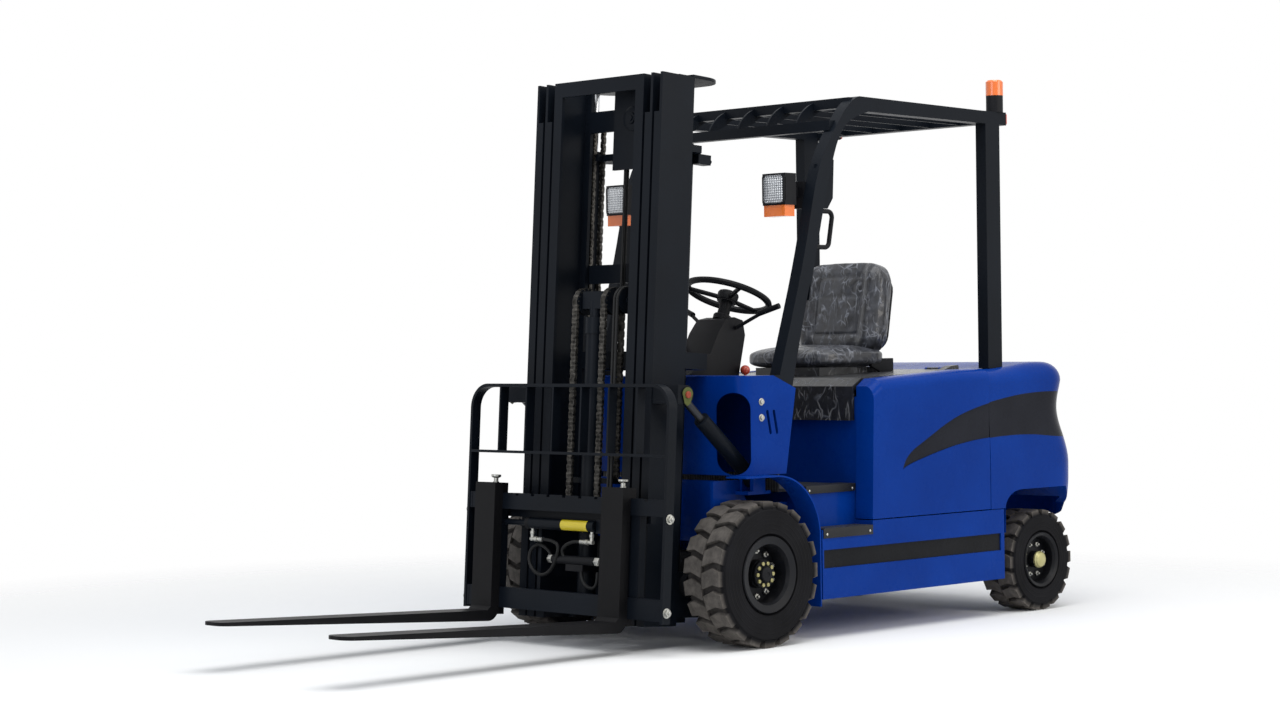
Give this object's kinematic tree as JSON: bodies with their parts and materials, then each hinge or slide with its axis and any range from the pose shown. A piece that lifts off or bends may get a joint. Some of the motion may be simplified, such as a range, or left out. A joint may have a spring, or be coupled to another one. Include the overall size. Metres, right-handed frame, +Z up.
{
  "type": "counterbalance forklift",
  "caption": "Four-wheel counterbalance forklift with a triplex mast, side shifter, overhead guard and solid tyres, blue body and black mast.",
  "frame": {"origin": "middle of the truck's length and width, on the floor under its tyres", "axes": "+X towards the fork tips, +Y to the driver's left, +Z up"},
  "size_m": [3.6835, 1.218, 2.145],
  "materials": {
    "tread_rubber": "matte",
    "rim_grey": "satin",
    "dark_steel": "satin",
    "body_blue": "gloss",
    "tread_plate": "satin",
    "hood_black": "matte",
    "seat_vinyl": "satin",
    "mast_black": "satin",
    "beacon_orange": "gloss",
    "chrome_rod": "polished",
    "chain_steel": "oiled",
    "fork_black": "satin"
  },
  "bodies": {
    "truck": {"chassis": "body_blue", "drive_axle": "dark_steel", "mast_pivot_plates": "dark_steel", "steer_axle": "dark_steel", "floor_plates": "tread_plate", "front_fenders": "body_blue", "cowl": "body_blue", "battery": "dark_steel", "side_panels": "body_blue", "counterweight": "body_blue", "overhead_guard": "mast_black", "grab_handle": "hood_black", "beacon_base": "hood_black", "beacon_lens": "beacon_orange", "head_lamps": "hood_black", "indicator_lamps": "beacon_orange", "steering_column": "hood_black", "control_levers": "hood_black"},
    "hood": {"hood": "hood_black", "seat_base": "hood_black", "seat_cushion": "seat_vinyl", "seat_back": "seat_vinyl"},
    "steering_wheel": {"steering_wheel": "hood_black"},
    "front_wheel_left": {"front_tyre_left": "tread_rubber", "front_rim_left": "rim_grey"},
    "front_wheel_right": {"front_tyre_right": "tread_rubber", "front_rim_right": "rim_grey"},
    "knuckle_left": {"knuckle_left": "dark_steel"},
    "knuckle_right": {"knuckle_right": "dark_steel"},
    "rear_wheel_left": {"rear_tyre_left": "tread_rubber", "rear_rim_left": "rim_grey"},
    "rear_wheel_right": {"rear_tyre_right": "tread_rubber", "rear_rim_right": "rim_grey"},
    "outer_mast": {"outer_mast": "mast_black"},
    "middle_mast": {"middle_mast": "mast_black", "lift_rods": "chrome_rod"},
    "inner_mast": {"inner_mast": "mast_black", "free_lift_barrel": "mast_black"},
    "crosshead": {"lift_crosshead": "mast_black", "lift_chains": "chain_steel"},
    "carriage": {"carriage": "mast_black", "side_shift_barrel": "mast_black"},
    "side_shifter": {"side_shifter": "mast_black", "load_backrest": "mast_black"},
    "fork_left": {"fork_left": "fork_black"},
    "fork_right": {"fork_right": "fork_black"},
    "tilt_barrels": {"tilt_barrels": "mast_black"},
    "tilt_rods": {"tilt_rods": "chrome_rod"}
  },
  "joints": [
    {"name": "mast_tilt", "type": "hinge", "parent": "truck", "child": "outer_mast", "pos_m": [0.25854, 0, 0.225], "axis": [0, 1, 0], "range_deg": [-2.1, 9.9]},
    {"name": "mast_lift", "type": "slide", "parent": "outer_mast", "child": "middle_mast", "axis": [-0.068, 0, 0.9977], "range_m": [0, 1.4]},
    {"name": "inner_lift", "type": "slide", "parent": "middle_mast", "child": "inner_mast", "axis": [-0.068, 0, 0.9977], "range_m": [0, 1.4]},
    {"name": "free_lift", "type": "slide", "parent": "inner_mast", "child": "carriage", "axis": [-0.068, 0, 0.9977], "range_m": [-0.045, 1.4], "deforming": ["lift_chains"]},
    {"name": "crosshead_lift", "type": "slide", "parent": "inner_mast", "child": "crosshead", "axis": [-0.068, 0, 0.9977], "range_m": [-0.0225, 0.7], "deforming": ["lift_chains"]},
    {"name": "side_shift", "type": "slide", "parent": "carriage", "child": "side_shifter", "axis": [0, 1, 0], "range_m": [-0.1, 0.1]},
    {"name": "fork_left_spread", "type": "slide", "parent": "side_shifter", "child": "fork_left", "axis": [0, 1, 0], "range_m": [-0.236, 0.15]},
    {"name": "fork_right_spread", "type": "slide", "parent": "side_shifter", "child": "fork_right", "axis": [0, 1, 0], "range_m": [-0.062, 0.328]},
    {"name": "tilt_barrel_swing", "type": "hinge", "parent": "truck", "child": "tilt_barrels", "pos_m": [0.00854, 0, 0.6], "axis": [0, 1, 0], "range_deg": [-2.5, 11.2]},
    {"name": "tilt_rod_run", "type": "slide", "parent": "tilt_barrels", "child": "tilt_rods", "axis": [0.7575, 0, 0.6529], "range_m": [-0.02, 0.08]},
    {"name": "steer_left", "type": "hinge", "parent": "truck", "child": "knuckle_left", "pos_m": [-1.56746, 0.37, 0.205], "axis": [0, 0, 1], "range_deg": [-70, 70]},
    {"name": "steer_right", "type": "hinge", "parent": "truck", "child": "knuckle_right", "pos_m": [-1.56746, -0.37, 0.205], "axis": [0, 0, 1], "range_deg": [-70, 70]},
    {"name": "rear_wheel_left_spin", "type": "hinge", "parent": "knuckle_left", "child": "rear_wheel_left", "pos_m": [-1.56746, 0.483, 0.205], "axis": [0, 1, 0], "continuous": true},
    {"name": "rear_wheel_right_spin", "type": "hinge", "parent": "knuckle_right", "child": "rear_wheel_right", "pos_m": [-1.56746, -0.483, 0.205], "axis": [0, 1, 0], "continuous": true},
    {"name": "front_wheel_left_spin", "type": "hinge", "parent": "truck", "child": "front_wheel_left", "pos_m": [0.10854, 0.5145, 0.265], "axis": [0, 1, 0], "continuous": true},
    {"name": "front_wheel_right_spin", "type": "hinge", "parent": "truck", "child": "front_wheel_right", "pos_m": [0.10854, -0.5145, 0.265], "axis": [0, 1, 0], "continuous": true},
    {"name": "steering_wheel_turn", "type": "hinge", "parent": "truck", "child": "steering_wheel", "pos_m": [-0.33146, 0, 1.285], "axis": [-0.3746, 0, 0.9272], "continuous": true},
    {"name": "hood_open", "type": "hinge", "parent": "truck", "child": "hood", "pos_m": [-1.21346, 0, 0.984], "axis": [0, -1, 0], "range_deg": [0, 60]}
  ],
  "couplings": [
    {"joint": "inner_lift", "follows": "mast_lift", "ratio": 1},
    {"joint": "crosshead_lift", "follows": "free_lift", "ratio": 0.5},
    {"joint": "tilt_barrel_swing", "follows": "mast_tilt", "ratio": 1.045},
    {"joint": "tilt_rod_run", "follows": "mast_tilt", "m_per_rad": 0.45},
    {"joint": "steer_right", "follows": "steer_left", "ratio": 1}
  ]
}
